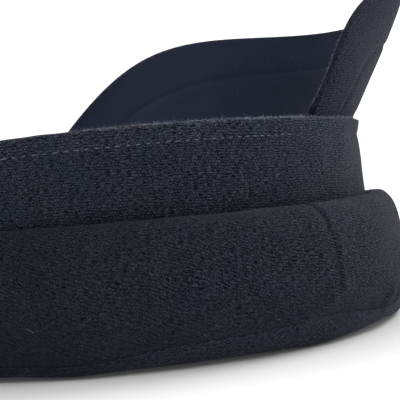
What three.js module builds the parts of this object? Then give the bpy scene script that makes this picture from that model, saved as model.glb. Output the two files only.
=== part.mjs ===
// Breton fisherman cap of dark wool cloth, lying upside down on the tip of its crown.
// Millimetres, +Z up. The origin is the middle of the flat patch that the cap rests on.
// The peak points to -Y. Turns are measured round the oval from there, positive towards +X.

import * as THREE from 'three';
import { mergeVertices } from 'three/addons/utils/BufferGeometryUtils.js';

// Rim: the outer edge of the band's hem, where the head goes in
const rimHalfLength = 98;
const rimHalfWidth = 88;

// Band: a ring of doubled cloth, a little wider at the crown than at the hem
const bandHeight = 29.7;
const bandWall = 2.6;
const bandFlare = 1.6;
const hemRound = 0.42 * bandWall;

// Crown: cloth that swells out from the band's seam and rolls under to the resting patch
const crownStand = 38.6;
const crownPuff = 13.8;
const crownWall = 2;
const crownSeamTop = 83;
const crownSeamFoot = 87;

// Peak: a stiff covered piece, cupped, standing on the band's hem
const peakDepth = 62.3;
const peakWall = 2.6;
const peakSpread = 74.3;
const peakInset = 1;
const peakWingEnd = 1.5;
const peakSlope = 47.4;
const peakArch = 2.4;
const peakEdgeRound = 0.3 * peakWall;

// Clearance between pieces that are sewn to each other
const seamGap = 0.3;

// The soft crown lets the rim lean: rise for each millimetre towards -X
const rimLean = 0.026;

// Steps of the faceted surfaces
const ringSteps = 92;
const sideSteps = 12;
const rollSteps = 5;
const peakSteps = 46;
const depthSteps = 8;

const degree = Math.PI / 180;

// Crown section from the band's seam to the resting patch.
// out is a share of crownPuff, up of crownStand, sway of the tip seam's rise and fall.
const crownRows = [
  { out: 0.04, up: 1.00, sway: 0.0 },
  { out: 0.13, up: 1.03, sway: 0.0 },
  { out: 0.31, up: 1.045, sway: 0.0 },
  { out: 0.50, up: 1.03, sway: 0.0 },
  { out: 0.66, up: 0.98, sway: 0.0 },
  { out: 0.78, up: 0.90, sway: 0.0 },
  { out: 0.87, up: 0.77, sway: 0.0 },
  { out: 0.95, up: 0.62, sway: 0.1 },
  { out: 1.00, up: 0.47, sway: 0.2 },
  { out: 0.98, up: 0.31, sway: 0.6 },
  { out: 0.92, up: 0.16, sway: 1.0 },
  { out: 0.86, up: 0.085, sway: 0.5 },
  { out: 0.74, up: 0.02, sway: 0.1 },
  { out: 0.49, up: 0.00, sway: 0.0 },
  { out: 0.20, up: 0.00, sway: 0.0 },
];
const tipSeamRow = 10;

// How the swell and the tip seam vary round the crown: shares of crownPuff and crownStand
const swellWaves = [
  { waves: 1, share: 0.07 },
  { waves: 2, share: -0.26 },
  { waves: 4, share: 0.07 },
];
const seamWaves = [
  { waves: 1, share: 0.022 },
  { waves: 2, share: -0.045 },
];

// Folds and dents of the crown. at and wide are degrees of turn, up and tall shares of
// crownStand, out a share of crownPuff, inwards where it is negative.
const folds = [
  { at: -99, wide: 12, up: 0.20, tall: 0.20, out: 0.08 },
  { at: -75, wide: 8, up: 0.22, tall: 0.16, out: -0.10 },
  { at: -57, wide: 12, up: 0.06, tall: 0.16, out: -0.20 },
  { at: -40, wide: 7, up: 0.22, tall: 0.22, out: -0.14 },
  { at: -20, wide: 12, up: 0.45, tall: 0.30, out: 0.07 },
  { at: 14, wide: 10, up: 0.26, tall: 0.22, out: -0.09 },
  { at: 48, wide: 9, up: 0.25, tall: 0.20, out: -0.12 },
  { at: 78, wide: 10, up: 0.24, tall: 0.18, out: 0.08 },
  { at: 112, wide: 12, up: 0.30, tall: 0.20, out: -0.10 },
  { at: 146, wide: 14, up: 0.50, tall: 0.30, out: 0.07 },
  { at: 172, wide: 10, up: 0.24, tall: 0.20, out: -0.09 },
  { at: -147, wide: 12, up: 0.05, tall: 0.18, out: -0.15 },
];

// Where the crest beside the band's seam stands higher, the tip seam wanders and the hem sinks:
// degrees of turn, and shares of crownStand, crownStand and bandHeight
const crestLifts = [
  { at: -36, wide: 30, up: 0.06 },
  { at: 40, wide: 26, up: 0.045 },
  { at: -145, wide: 26, up: 0.025 },
  { at: 135, wide: 34, up: 0.03 },
];
const seamDips = [
  { at: -128, wide: 9, up: -0.05 },
  { at: -90, wide: 8, up: 0.02 },
  { at: -72, wide: 8, up: -0.04 },
  { at: 62, wide: 12, up: -0.03 },
  { at: 120, wide: 14, up: 0.03 },
];
const hemDips = [
  { at: -156, wide: 30, up: -0.045 },
  { at: 150, wide: 36, up: -0.02 },
];

// Outline and cupping of the peak along its wings
const outlinePower = 2.66;
const outlineFall = 1.04;
const wingRise = 102.4;
const wingEase = -75.4;

// Leans a point of the cap as the soft crown does, keeping the resting patch flat
function leaned(x, y, z) {
  const share = Math.min(1, z / crownStand);
  return new THREE.Vector3(x, y, z - rimLean * x * share);
}

// Point of the rim's oval at a turn, moved out along the oval's normal and up
function ringPoint(turn, out, up) {
  const across = rimHalfLength * Math.sin(turn);
  const along = -rimHalfWidth * Math.cos(turn);
  const reach = Math.hypot(across, along);
  const x = rimHalfWidth * Math.sin(turn) + out * across / reach;
  const y = -rimHalfLength * Math.cos(turn) + out * along / reach;
  return leaned(x, y, up);
}

function waveSum(table, turn) {
  return table.reduce((sum, row) => sum + row.share * Math.cos(row.waves * turn), 0);
}

// Signed angle between two turns, the short way round
function turnBetween(turn, other) {
  return Math.atan2(Math.sin(turn - other), Math.cos(turn - other));
}

function foldShare(turn, up) {
  let share = 0;
  for (const fold of folds) {
    const round = turnBetween(turn, fold.at * degree) / (fold.wide * degree);
    const rise = (up / crownStand - fold.up) / fold.tall;
    share += fold.out * Math.exp(-round * round - rise * rise);
  }
  return share;
}

// Sum of a table of local rises and dips at a turn
function riseSum(table, turn) {
  let sum = 0;
  for (const row of table) {
    const round = turnBetween(turn, row.at * degree) / (row.wide * degree);
    sum += row.up * Math.exp(-round * round);
  }
  return sum;
}

// Lift of the crest as a share of crownStand, at a turn and a share of the section
function crestLift(turn, share) {
  const row = share * (crownRows.length - 1);
  const gate = THREE.MathUtils.smoothstep(row, 0, 2) * (1 - THREE.MathUtils.smoothstep(row, 3, 7));
  return gate * riseSum(crestLifts, turn);
}

const crownTop = crownStand - seamGap;
const crownCurve = new THREE.CatmullRomCurve3(
  crownRows.map((row) => new THREE.Vector3(row.out * crownPuff, row.up * crownTop, row.sway)),
  false,
  'centripetal',
);
const tipSeamAt = tipSeamRow / (crownRows.length - 1);

// Outer face of the crown as distance out from the band's seam and height, at a turn and a
// share of the section. Shares below 0 run straight in under the band.
function crownFace(turn, share) {
  if (share < 0) {
    return new THREE.Vector2(share * bandWall, crownTop);
  }
  const point = crownCurve.getPoint(share);
  const sway = waveSum(seamWaves, turn) + riseSum(seamDips, turn);
  const rise = sway * point.z + crestLift(turn, share);
  const up = Math.max(0, point.y + crownStand * rise);
  const swell = point.x * (1 + waveSum(swellWaves, turn));
  return new THREE.Vector2(swell + crownPuff * foldShare(turn, up), up);
}

// Point of the crown's cloth, at a depth below its outer face and a distance past the share
function crownPoint(turn, share, depth, past = 0) {
  const step = 1e-3;
  const before = crownFace(turn, share - step);
  const after = crownFace(turn, share + step);
  const run = after.sub(before).normalize();
  const face = crownFace(turn, share);
  const out = bandFlare + face.x + run.y * depth + run.x * past;
  return ringPoint(turn, out, face.y - run.x * depth + run.y * past);
}

// A closed body from a grid of points: rows[i][j] runs round a closed section at each row i.
// Open bodies get a cap of quads across both ends, looped ones close on their first row.
function sweptBody(rows, looped) {
  const count = rows[0].length;
  const corners = [];
  const quad = (a, b, c, d) => corners.push(a, b, c, a, c, d);
  const last = looped ? rows.length : rows.length - 1;
  for (let i = 0; i < last; i += 1) {
    const here = rows[i];
    const next = rows[(i + 1) % rows.length];
    for (let j = 0; j < count; j += 1) {
      const k = (j + 1) % count;
      quad(here[j], here[k], next[k], next[j]);
    }
  }
  if (!looped) {
    const [first, end] = [rows[0], rows[rows.length - 1]];
    for (let j = 0; j < count / 2 - 1; j += 1) {
      const m = count - 1 - j;
      quad(first[j], first[m], first[m - 1], first[j + 1]);
      quad(end[j], end[j + 1], end[m - 1], end[m]);
    }
  }
  return bodyOf(corners);
}

// Merged geometry of a list of triangle corners, without triangles that closed up
function bodyOf(corners) {
  const soup = new THREE.BufferGeometry().setFromPoints(corners);
  const merged = mergeVertices(soup, 1e-3);
  const index = merged.getIndex().array;
  const kept = [];
  for (let i = 0; i < index.length; i += 3) {
    const [a, b, c] = index.slice(i, i + 3);
    if (a !== b && b !== c && c !== a) {
      kept.push(a, b, c);
    }
  }
  merged.setIndex(kept);
  merged.computeVertexNormals();
  return merged;
}

// Evenly spread shares from one value to another, both ends included
function spread(from, to, steps) {
  return Array.from({ length: steps + 1 }, (_, i) => from + (to - from) * i / steps);
}

// Turn of the crown's side seam at a share of its section: it swings back towards its foot
function sideSeamTurn(share) {
  const drop = THREE.MathUtils.smoothstep(share, 0, tipSeamAt);
  return THREE.MathUtils.lerp(crownSeamTop, crownSeamFoot, drop) * degree;
}

// Turn at a place along a side piece, from -1 to 1 between its two seams
function sideTurn(back, along, share) {
  const seam = sideSeamTurn(share);
  const margin = seamGap / 2 / rimHalfWidth;
  return back ? Math.PI + along * (Math.PI - seam - margin) : along * (seam - margin);
}

// One side piece of the crown, on the front or the back of the two side seams
function crownSide(back) {
  const shares = [-1, ...spread(0, tipSeamAt, sideSteps)];
  const rows = [];
  for (const along of spread(-1, 1, ringSteps / 2)) {
    const place = (share, depth) => {
      const past = share === tipSeamAt ? -seamGap / 2 : 0;
      return crownPoint(sideTurn(back, along, share), share, depth, past);
    };
    const outer = shares.map((share) => place(share, 0));
    const inner = shares.map((share) => place(share, crownWall));
    rows.push([...outer, ...inner.reverse()]);
  }
  return sweptBody(rows, false);
}

// The crown's tip: rolled up at its edge, where it follows the side pieces, and flat where it rests
function crownTip() {
  const shares = spread(tipSeamAt, 1, rollSteps);
  const middle = { outer: new THREE.Vector3(0, 0, 0), inner: new THREE.Vector3(0, 0, crownWall) };
  const rows = [];
  for (const back of [false, true]) {
    for (const along of spread(-1, 1, ringSteps / 2)) {
      const turn = sideTurn(back, along, tipSeamAt);
      const place = (share, depth) => {
        const past = share === tipSeamAt ? seamGap / 2 : 0;
        return crownPoint(turn, share, depth, past);
      };
      const outer = shares.map((share) => place(share, 0));
      const inner = shares.map((share) => place(share, crownWall));
      rows.push([...outer, middle.outer, middle.inner, ...inner.reverse()]);
    }
  }
  return sweptBody(rows, true);
}

// The band: its section is a tall strip with a rounded hem
function band() {
  const section = [
    { out: bandFlare, up: 0 },
    { out: 0, up: bandHeight - hemRound },
    { out: -0.3 * hemRound, up: bandHeight - 0.3 * hemRound },
    { out: -hemRound, up: bandHeight },
    { out: -bandWall + hemRound, up: bandHeight },
    { out: -bandWall + 0.3 * hemRound, up: bandHeight - 0.3 * hemRound },
    { out: -bandWall, up: bandHeight - hemRound },
    { out: bandFlare - bandWall, up: 0 },
  ];
  const rows = [];
  for (const turn of spread(0, 2 * Math.PI, ringSteps).slice(0, -1)) {
    const stretch = 1 + riseSum(hemDips, turn);
    const place = (point) => ringPoint(turn, point.out, crownStand + point.up * stretch);
    rows.push(section.map(place).reverse());
  }
  return sweptBody(rows, true);
}

// Depth of the peak from the hem to its free edge, along its wings from -1 to 1
function peakWidth(along) {
  const share = (1 - Math.abs(along) ** outlinePower) ** outlineFall;
  return peakWingEnd + (peakDepth - peakWingEnd) * share;
}

// Slope of the peak above the level: shallow at its middle, upright on its wings
function peakRise(along) {
  return (peakSlope + wingRise * along ** 2 + wingEase * along ** 4) * degree;
}

// Section of the peak at one place along its wings, with its foot level on the hem
function peakSection(along) {
  const turn = along * peakSpread * degree;
  const width = peakWidth(along);
  const rise = peakRise(along);
  const [level, upright] = [Math.cos(rise), Math.sin(rise)];
  const arch = peakArch * Math.min(1, 2 * width / peakDepth);
  const foot = crownStand + bandHeight + seamGap;
  const place = (run, depth) => {
    const bow = arch * Math.max(0, 4 * (run / width) * (1 - run / width)) - depth;
    return ringPoint(turn, run * level + bow * upright - peakInset, foot + run * upright - bow * level);
  };
  const runs = spread(0, width, depthSteps);
  const outer = runs.map((run) => place(run, 0));
  const inner = runs.map((run) => place(run, peakWall));
  inner[0] = ringPoint(turn, -peakInset - peakWall / upright, foot);
  const edge = place(width + peakEdgeRound, peakWall / 2);
  return [...outer, edge, edge, ...inner.reverse()];
}

function peak() {
  const rows = spread(-1, 1, peakSteps).map((along) => peakSection(along).reverse());
  return sweptBody(rows, false);
}

// Each piece with the colour of its cloth
const pieces = [
  { name: 'crown_tip', shape: crownTip(), colour: 0x20242d },
  { name: 'crown_side_front', shape: crownSide(false), colour: 0x22262f },
  { name: 'crown_side_back', shape: crownSide(true), colour: 0x22262f },
  { name: 'band', shape: band(), colour: 0x23272f },
  { name: 'peak', shape: peak(), colour: 0x252831 },
];

const cap = new THREE.Group();
for (const piece of pieces) {
  const cloth = new THREE.MeshStandardMaterial({ color: piece.colour, roughness: 0.95, metalness: 0 });
  const mesh = new THREE.Mesh(piece.shape, cloth);
  mesh.name = piece.name;
  cap.add(mesh);
}

export default cap;
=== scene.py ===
"""A fisherman cap of dark wool cloth, lying upside down on the tip of its crown.

Metres, +Z up, the peak towards -Y. Turns are measured round the oval of the rim from the peak's
middle, positive towards +X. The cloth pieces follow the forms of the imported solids, with one dent
shallower and the crest and the hem a little higher in places. They add the narrow creases, the bend
of the side seams, the rolled hem and the stitched grooves.
"""

import math
from collections import namedtuple

import bmesh
import bpy
import numpy as np
from bpy.props import FloatProperty, FloatVectorProperty, IntProperty, PointerProperty
from mathutils import Matrix, Vector


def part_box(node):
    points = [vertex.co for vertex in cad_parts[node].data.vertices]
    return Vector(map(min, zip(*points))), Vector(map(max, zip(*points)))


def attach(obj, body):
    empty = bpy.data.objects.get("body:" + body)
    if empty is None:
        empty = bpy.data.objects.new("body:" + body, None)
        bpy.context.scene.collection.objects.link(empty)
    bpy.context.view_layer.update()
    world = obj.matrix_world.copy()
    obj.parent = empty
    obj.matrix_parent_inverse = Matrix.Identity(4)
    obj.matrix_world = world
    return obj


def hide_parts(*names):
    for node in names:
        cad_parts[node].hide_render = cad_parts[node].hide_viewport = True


bl_info = {
    "name": "Fisherman Cap",
    "version": (1, 0, 0),
    "blender": (4, 5, 0),
    "location": "3D View > Sidebar > Cap",
    "description": "A wool fisherman cap sewn piece by piece, lying on its crown",
    "category": "Add Mesh",
}

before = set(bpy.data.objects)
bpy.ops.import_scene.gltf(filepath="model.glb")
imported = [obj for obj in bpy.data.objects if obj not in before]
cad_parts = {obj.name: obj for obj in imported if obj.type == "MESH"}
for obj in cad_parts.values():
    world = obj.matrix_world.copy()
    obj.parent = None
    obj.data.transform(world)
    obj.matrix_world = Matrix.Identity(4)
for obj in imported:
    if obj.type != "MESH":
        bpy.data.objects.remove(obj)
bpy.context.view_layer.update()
BODY = "root"
MM = 0.001

# Forms shared with the solids: the band's box gives the rim's oval, the stand and the band's height
BAND_LOW, BAND_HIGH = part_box("band")
BAND_FLARE = 1.6 * MM
RIM_LEAN = 0.026
RIM_HALF_LENGTH = BAND_HIGH.y - BAND_FLARE
RIM_HALF_WIDTH = BAND_HIGH.x - BAND_FLARE
CROWN_STAND = BAND_LOW.z + RIM_LEAN * BAND_HIGH.x
BAND_HEIGHT = BAND_HIGH.z - CROWN_STAND - RIM_LEAN * RIM_HALF_WIDTH

# Crown section from the band's seam to the resting patch.
# out is a share of the puff, up of the stand, sway of the tip seam's rise and fall.
Row = namedtuple("Row", "out up sway")
CROWN_ROWS = [
    Row(0.04, 1.00, 0.0),
    Row(0.13, 1.04, 0.0),
    Row(0.31, 1.045, 0.0),
    Row(0.50, 1.03, 0.0),
    Row(0.66, 0.98, 0.0),
    Row(0.78, 0.90, 0.0),
    Row(0.87, 0.77, 0.0),
    Row(0.95, 0.62, 0.1),
    Row(1.00, 0.47, 0.2),
    Row(0.98, 0.31, 0.6),
    Row(0.92, 0.16, 1.0),
    Row(0.86, 0.085, 0.5),
    Row(0.74, 0.02, 0.1),
    Row(0.49, 0.00, 0.0),
    Row(0.20, 0.00, 0.0),
]

# The tip seam's row of the section, and the rows over which the crest's lifts come in and go out
TIP_SEAM_ROW = 10
TIP_SEAM = TIP_SEAM_ROW / (len(CROWN_ROWS) - 1)
CREST_IN = (0, 2)
CREST_OUT = (3, 7)

# How the swell and the tip seam vary round the crown: shares of the puff and of the stand
Wave = namedtuple("Wave", "waves share")
SWELL_WAVES = [Wave(1, 0.07), Wave(2, -0.26), Wave(4, 0.07)]
SEAM_WAVES = [Wave(1, 0.022), Wave(2, -0.045)]

# Folds and dents of the crown: degrees of turn, shares of the stand, a share of the puff
Fold = namedtuple("Fold", "at wide up tall out")
FOLDS = [
    Fold(-99, 12, 0.20, 0.20, 0.08),
    Fold(-75, 8, 0.22, 0.16, -0.10),
    Fold(-60, 12, 0.06, 0.20, -0.07),
    Fold(-40, 7, 0.22, 0.22, -0.14),
    Fold(-20, 12, 0.45, 0.30, 0.07),
    Fold(14, 10, 0.26, 0.22, -0.09),
    Fold(48, 9, 0.25, 0.20, -0.12),
    Fold(78, 10, 0.24, 0.18, 0.08),
    Fold(112, 12, 0.30, 0.20, -0.10),
    Fold(146, 14, 0.50, 0.30, 0.07),
    Fold(172, 10, 0.24, 0.20, -0.09),
    Fold(-147, 12, 0.05, 0.18, -0.15),
]

# Rises of the crest, of the tip seam and of the hem: degrees of turn and shares of their heights
Rise = namedtuple("Rise", "at wide up")
CREST_LIFTS = [Rise(-36, 30, 0.06), Rise(40, 26, 0.045), Rise(-145, 26, 0.025), Rise(135, 34, 0.03)]
SEAM_DIPS = [
    Rise(-128, 9, -0.05),
    Rise(-90, 8, 0.02),
    Rise(-72, 8, -0.04),
    Rise(62, 12, -0.03),
    Rise(120, 14, 0.03),
]
HEM_DIPS = [Rise(-156, 30, -0.045), Rise(-50, 9, 0.03), Rise(150, 36, -0.02)]

# Soft ridges and grooves that run from one place of the crown to another: degrees of turn and
# shares of the stand at both ends, then half width and height in millimetres
Crease = namedtuple("Crease", "turn_a up_a turn_b up_b wide high")
CREASES = [
    Crease(-86.4, 1.05, -86.2, 0.84, 1.0, -0.7),
    Crease(-84.7, 0.76, -86.0, 0.42, 0.8, 0.85),
    Crease(-86.1, 0.66, -86.6, 0.46, 1.4, -0.35),
    Crease(-84.8, 0.40, -89.4, 0.34, 1.8, 0.7),
    Crease(-89.4, 0.34, -95.0, 0.20, 2.4, 0.7),
    Crease(-77.0, 0.20, -92.0, 0.19, 2.4, -0.9),
    Crease(-72.3, 0.14, -68.6, 0.27, 1.2, 0.8),
    Crease(-67.0, 0.15, -65.0, 0.34, 1.6, -0.45),
]

# How far the rolled edge of the tip lifts off the floor: degrees of turn and millimetres
ROLL_LIFTS = [
    Rise(-142, 6, 0.45),
    Rise(-131, 4, -0.35),
    Rise(-111, 12, 0.25),
    Rise(-90, 6, -0.75),
    Rise(-71, 6, 1.3),
]

# Shares of the section between which that lift comes in, and shares of the way from the section's
# end to the tip's middle
ROLL_SHARES = (0.74, 0.90)
FLOOR_STEPS = np.array([0.06, 0.14, 0.24, 0.36, 1.0])

# How the side seam bends back under the crest: shares of the section and degrees of turn
SEAM_BEND = Rise(0.22, 0.14, 2.4)

# Shares of the seam gap: what stays open at a side seam, and how far a cloth reaches in at the
# tip seam. The round of a sewn edge is a share of the wall.
SIDE_SEAM_OPEN = 0.03
TIP_SEAM_REACH = 0.2
SEAM_ROUND = 0.1

# The hem: its roll as a share of the wall, its puff over the stitches all round and where it is
# loose, how far the stitches press it in, and how far the band stands off the solid
HEM_ROLL = 0.42
HEM_PUFF = 0.35 * MM
LOOSE_PUFF = 0.9 * MM
LOOSE_TURN = math.radians(-48)
LOOSE_SPREAD = 0.3
HEM_PRESS = 0.22 * MM
HEM_PRESS_SPREAD = 1.1 * MM
BAND_SWELL = 0.25 * MM

# Where the hem's puff hides its stitches: degrees of turn and millimetres
STITCH_SINKS = [Rise(-66, 20, 0.70)]

# Outline and cupping of the peak along its wings, and the share of its run where the foot turns up
OUTLINE_POWER = 2.66
OUTLINE_FALL = 1.04
WING_RISE = math.radians(102.4)
WING_EASE = math.radians(-75.4)
FOOT_TURN = (0.0, 0.12)

# The peak's stitched groove on its outer face and its underside, and the slit in its edge, whose
# places are shares across the wall and shares of a wing
GROOVE_OUTER = 0.5 * MM
GROOVE_UNDER = 0.4 * MM
GROOVE_SPREAD = 1.5 * MM
SLIT_DEPTH = 0.35 * MM
SLIT_SPREAD = 0.14
SLIT_WING = (0.6, 0.95)

# Fineness of the cloths: columns round each, and rows on its outer and its inner face
Grid = namedtuple("Grid", "columns outer inner")
SIDE_GRID = Grid(250, 86, 26)
TIP_GRID = Grid(420, 44, 20)
BAND_GRID = Grid(420, 56, 20)
PEAK_GRID = Grid(260, 64, 64)

# The stitches: width and height of their thread, how they lie on the cloth, and the share of the
# peak's spread that is stitched
STITCH_WIDE = 0.31 * MM
STITCH_HIGH = 0.42 * MM
HEM_STITCH_OFF = 0.16 * MM
PEAK_STITCH_DEPTH = 0.52 * MM
PEAK_STITCH_SPREAD = 0.86

# Loose fibres and lint, with the one longer curl of lint on the near side of the crown
FIBRE_RADIUS = 0.022 * MM
LINT_RADIUS = 0.036 * MM
LINT_SPOTS = 48
LINT_LIFT = 0.15 * MM
CURL_TURN = math.radians(-136.0)
CURL_SHARE = 0.60
CURL_LIFT = 0.45 * MM
CURL_LENGTH = 4.8 * MM

# Grain of the wool in waves per millimetre of the cloth map, along and across the threads
NAP_WAVES = (0.68, 3.05, 1.0)
FINE_WAVES = (1.8, 4.2, 1.0)
PATCH_WAVES = 0.13
TINT_WAVES = 0.07
DRIFT_WAVES = 0.035
WOBBLE_WAVES = 0.7
WOBBLE_REACH = (1.1, 0.4, 0.0)

# The threads' mean height, how light the cloth is on average between its two colours, and how
# much the fine grain and the wide patches change that
MEAN_HEIGHT = 0.31
MEAN_LIGHT = 0.27
FINE_SHARE = 0.8
PATCH_SHARE = 0.12

# Degrees of turn over which the threads sharpen on the near side, and soften again past the seam
SHARPEN = (-135.0, -67.0)
SOFTEN = (-62.0, -35.0)

# Painted light and shade on the brushed cloth: where a painted change of brightness starts and ends, in
# degrees of turn on the crown's sides and their crest and in millimetres along the tip. The sides and the
# tip are painted darker at the back of the near side, where less light falls, and lighter further
# forward, and the crest lighter in front of the side seam, where it faces up into the light. The single
# values are what the sides, the tip and the band start from, and the painted light that the hem adds to
# the band where its puff faces up.
PaintedLight = namedtuple("PaintedLight", "start end change")
SIDE_PAINTED_LIGHT = 0.86
SIDE_PAINTED_LIGHTS = [PaintedLight(-136.0, -122.0, 0.16), PaintedLight(-116.0, -104.0, 0.07), PaintedLight(-80.0, -70.0, -0.10)]
CREST_PAINTED_LIGHTS = [PaintedLight(-86.5, -84.5, 0.13), PaintedLight(-80.0, -70.0, -0.13)]
TIP_PAINTED_LIGHT = 0.72
TIP_PAINTED_LIGHTS = [PaintedLight(-80.0, -56.0, 0.47), PaintedLight(-28.0, -8.0, -0.10), PaintedLight(8.0, 30.0, 0.17)]
BAND_PAINTED_LIGHT = 1.03
HEM_PAINTED_LIGHT = 0.23

# Millimetres below the band over which the crest's painted light, the painted shade in the side seam's
# groove and the threads' crispness fade, the width of that painted shade from the seam, and how much is
# lost
CREST_FADE = (14.0, 26.0)
SHADE_FADE = (15.0, 25.0)
CRISP_FADE = (27.0, 46.0)
SHADE_WIDE = (0.2, 1.5)
SHADE_LOSS = 0.36
CRISP_LOSS = 0.6

STITCH_SEED = 71
NAP_SEED = 31

# The floor: its half width, its two pale tones, and how its glow brightens away from the cap, weak near
# the cap as a painted shadow
FLOOR_HALF = 8.0
FLOOR_DARK = (0.84, 0.84, 0.84)
FLOOR_LIGHT = (0.86, 0.86, 0.86)
FLOOR_FADE = (0.108, 0.165)
NEAR_GLOW = (0.12, 0.12, 0.12)
FAR_GLOW = 0.25

# The surround's light and how it grows to one side
WHITE = (1.0, 1.0, 1.0)
BLACK = (0.0, 0.0, 0.0)
STUDIO_LIGHT = 0.96
STUDIO_SLANT = (0.22, -0.27, 0.0)

# Lamps: metres from the crown's middle along the camera's right, up and back, and watts
Lamp = namedtuple("Lamp", "name right up back power")
LAMPS = [Lamp("key_light", 0.7, 0.75, -0.5, 5.4), Lamp("rim_light", 0.1, 0.8, -0.9, 3.4)]
LAMP_WIDTH = 0.5


def length_property(label, description, default):
    return FloatProperty(name=label, description=description, default=default, unit="LENGTH")


def turn_property(label, description, default):
    return FloatProperty(name=label, description=description, default=default, unit="ROTATION")


class CapSizes(bpy.types.PropertyGroup):
    """Sizes of the cap"""

    rim_half_length: length_property(
        "Rim half length", "Half the length of the rim, front to back", RIM_HALF_LENGTH)
    rim_half_width: length_property(
        "Rim half width", "Half the width of the rim, side to side", RIM_HALF_WIDTH)
    band_height: length_property(
        "Band height", "Height of the band from the crown's seam to its hem", BAND_HEIGHT)
    band_wall: length_property("Band wall", "Thickness of the doubled band cloth", 2.6 * MM)
    band_flare: length_property(
        "Band flare", "How much wider the band is at the crown than at the hem", BAND_FLARE)
    crown_stand: length_property(
        "Crown stand", "Height of the band's seam above the resting patch", CROWN_STAND)
    crown_puff: length_property(
        "Crown puff", "How far the crown swells out from the band", 13.8 * MM)
    crown_wall: length_property("Crown wall", "Thickness of the crown cloth", 2.0 * MM)
    crown_seam_top: turn_property(
        "Side seam at the band", "Turn of the crown's side seam beside the band", math.radians(83))
    crown_seam_foot: turn_property(
        "Side seam at the tip", "Turn of the crown's side seam beside the tip", math.radians(87))
    peak_depth: length_property("Peak depth", "Depth of the peak at its middle", 62.3 * MM)
    peak_wall: length_property("Peak wall", "Thickness of the covered peak", 2.6 * MM)
    peak_spread: turn_property(
        "Peak spread", "Turn of the peak's wing ends from its middle", math.radians(74.3))
    peak_slope: turn_property(
        "Peak slope", "Slope of the peak above the level at its middle", math.radians(47.4))
    peak_inset: length_property(
        "Peak inset", "How far the peak's foot stands in from the band's face", 1.0 * MM)
    peak_wing_end: length_property(
        "Peak wing end", "Depth of the peak where its wings end", 1.5 * MM)
    peak_arch: length_property(
        "Peak arch", "Rise of the peak's arch between hem and free edge", 2.4 * MM)
    seam_gap: length_property(
        "Seam gap", "Clearance between pieces that are sewn to each other", 0.3 * MM)
    stitch_pitch: length_property(
        "Stitch pitch", "Distance from one stitch to the next", 3.0 * MM)
    hem_stitch_drop: length_property(
        "Hem stitch drop", "Distance of the hem's stitching below the rim", 5.8 * MM)
    peak_stitch_inset: length_property(
        "Peak stitch inset", "Distance of the peak's stitching from its free edge", 21.0 * MM)
    roll_lift: length_property(
        "Roll lift", "How far the tip's rolled edge lifts off the floor", 0.8 * MM)
    camera_place: FloatVectorProperty(
        name="Camera place", description="Where the camera stands",
        default=(-324.01 * MM, 221.03 * MM, 52.54 * MM), unit="LENGTH")
    camera_turns: FloatVectorProperty(
        name="Camera turns", description="Yaw, pitch and roll of the camera",
        default=(-0.6837, -0.0189, -0.0806), unit="ROTATION")
    camera_lens: FloatProperty(
        name="Camera lens", description="Focal length of the camera on a 36 mm sensor, in mm",
        default=93.605)


def cloth_colour(label, default):
    """A colour property of the cloths' finish."""
    return FloatVectorProperty(name=label, description=f"{label} of the cloth", subtype="COLOR",
                               default=default, min=0.0, max=1.0)


class CapFinish(bpy.types.PropertyGroup):
    """Colours and weave of the cap's cloths"""

    hollow: cloth_colour("Colour between the threads", (0.00116, 0.00186, 0.00534))
    thread: cloth_colour("Colour of the threads", (0.0603, 0.0661, 0.0905))
    under: cloth_colour("Colour of the peak's underside", (0.0205, 0.0262, 0.0460))
    stitch: cloth_colour("Colour of the sewing thread", (0.140, 0.153, 0.205))
    cool: cloth_colour("Cooler tint of the wool", (0.724, 0.845, 0.905))
    warm: cloth_colour("Warmer tint of the wool", (1.0, 0.862, 0.828))
    # Loose fibres are paler than the cloth: partly their own colour, partly a painted glow that stands in
    # for light through backlit fuzz.
    fibre: cloth_colour("Colour of loose fibres", (0.37, 0.40, 0.51))
    lint: cloth_colour("Colour of lint", (0.34, 0.36, 0.40))
    thread_length: FloatProperty(
        name="Thread length", description="Length of one thread of the weave that shows, in mm",
        default=0.98)
    row_pitch: FloatProperty(
        name="Row pitch", description="Distance between rows of the weave, in mm", default=0.88)
    weave_share: FloatProperty(
        name="Weave share", description="How much the single threads show through the nap",
        default=0.45)
    nap_share: FloatProperty(
        name="Nap share", description="How much the brushed nap streaks the cloth", default=1.5)
    fibres: IntProperty(
        name="Fibres", description="Number of loose fibres on the hem, the crown or the peak",
        default=9500)


# Forms of the cap, worked out for whole arrays of places at once

def smooth_step(value, low, high):
    share = np.clip((value - low) / (high - low), 0.0, 1.0)
    return share * share * (3.0 - 2.0 * share)


def turn_between(turn, other):
    """Signed angle between turns, the short way round."""
    return (turn - other + math.pi) % (2 * math.pi) - math.pi


def full_turn(share):
    """Turn at a share of the way round, from the middle of the back."""
    return 2 * math.pi * share - math.pi


def unit(vectors):
    return vectors / np.linalg.norm(vectors, axis=-1, keepdims=True)


def half_round(share):
    """Height of a half circle of height 1 at a share of the way across."""
    return np.sqrt(np.clip(1 - (2 * share - 1) ** 2, 0.0, 1.0))


def raised(points, lift):
    return points + lift[:, None] * [0.0, 0.0, 1.0]


def running_length(steps):
    return np.concatenate([[0.0], np.cumsum(steps)])


def mean_radius(size, out=0.0):
    """Radius by which turns are lengths on the cloth maps, at a distance out from the rim."""
    return (size.rim_half_length + size.rim_half_width) / 2 + out


def wave_sum(table, turn):
    return sum(row.share * np.cos(row.waves * turn) for row in table)


def rise_sum(table, turn):
    total = 0.0
    for row in table:
        away = turn_between(turn, math.radians(row.at)) / math.radians(row.wide)
        total = total + row.up * np.exp(-away * away)
    return total


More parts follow.
